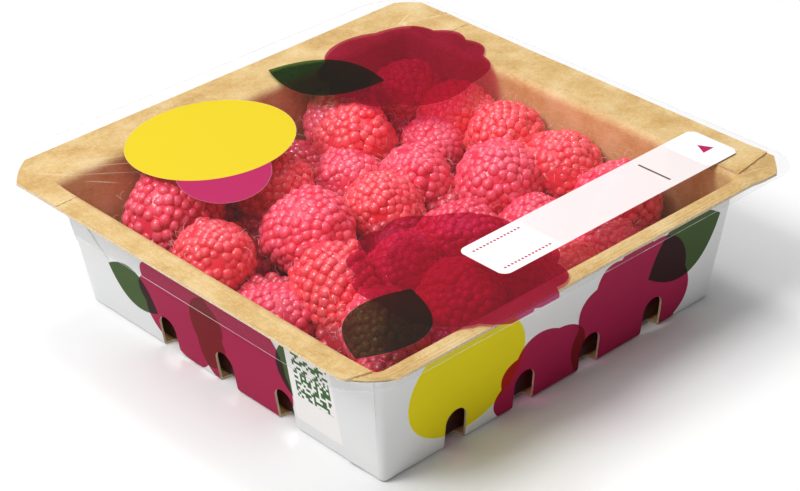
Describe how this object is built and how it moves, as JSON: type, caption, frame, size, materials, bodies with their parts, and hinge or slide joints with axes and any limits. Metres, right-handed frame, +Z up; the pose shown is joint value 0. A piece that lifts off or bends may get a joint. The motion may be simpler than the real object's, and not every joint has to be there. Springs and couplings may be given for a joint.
{
  "type": "punnet of raspberries",
  "caption": "Shallow folded board punnet heaped with raspberries, with arched vents along its foot and a printed clear film sealed over its rim.",
  "frame": {"origin": "middle of the tray's underside, on the surface the punnet stands on", "axes": "+Z up; +X and +Y along the square tray's sides, towards its two wide rim lips; the -X and -Y walls are the two that show in front"},
  "size_m": [0.1432, 0.1431, 0.0346],
  "materials": {
    "board": "matt kraft board, white and printed outside",
    "raspberry": "moist beaded fruit skin with a pale bloom",
    "film": "clear glossy film with printed fields of colour"
  },
  "bodies": {
    "root": {"tray": "board", "raspberries": "raspberry", "film_lid": "film"}
  },
  "joints": []
}
